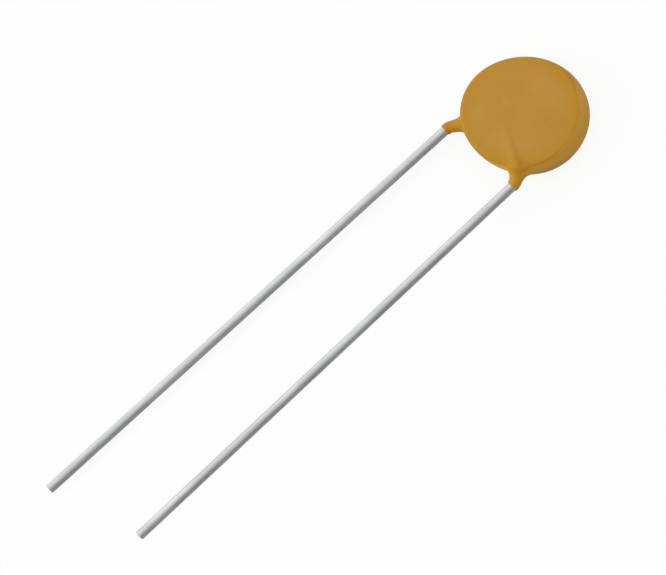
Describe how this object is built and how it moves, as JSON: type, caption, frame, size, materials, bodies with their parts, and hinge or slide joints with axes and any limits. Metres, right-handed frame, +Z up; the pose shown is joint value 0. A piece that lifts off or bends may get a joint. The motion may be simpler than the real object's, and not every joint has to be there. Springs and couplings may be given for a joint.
{
  "type": "ceramic disc capacitor",
  "caption": "Small ceramic disc capacitor: a round disc dipped in ochre resin, with parallel tinned wire leads, lying on its rear face.",
  "frame": {"origin": "on the table, under the middle of the part's bounding box", "axes": "+Y along the leads towards the disc, +X across the leads towards the front lead, +Z up, out of the disc's front face"},
  "size_m": [0.0062, 0.0338, 0.0023],
  "materials": {
    "resin": "satin",
    "dielectric": "matte",
    "silver": "matte",
    "solder": "satin",
    "tinned_wire": "satin"
  },
  "bodies": {
    "root": {"coating": "resin", "ceramic_disc": "dielectric", "front_electrode": "silver", "rear_electrode": "silver", "front_solder": "solder", "rear_solder": "solder", "front_lead": "tinned_wire", "rear_lead": "tinned_wire"}
  },
  "joints": []
}
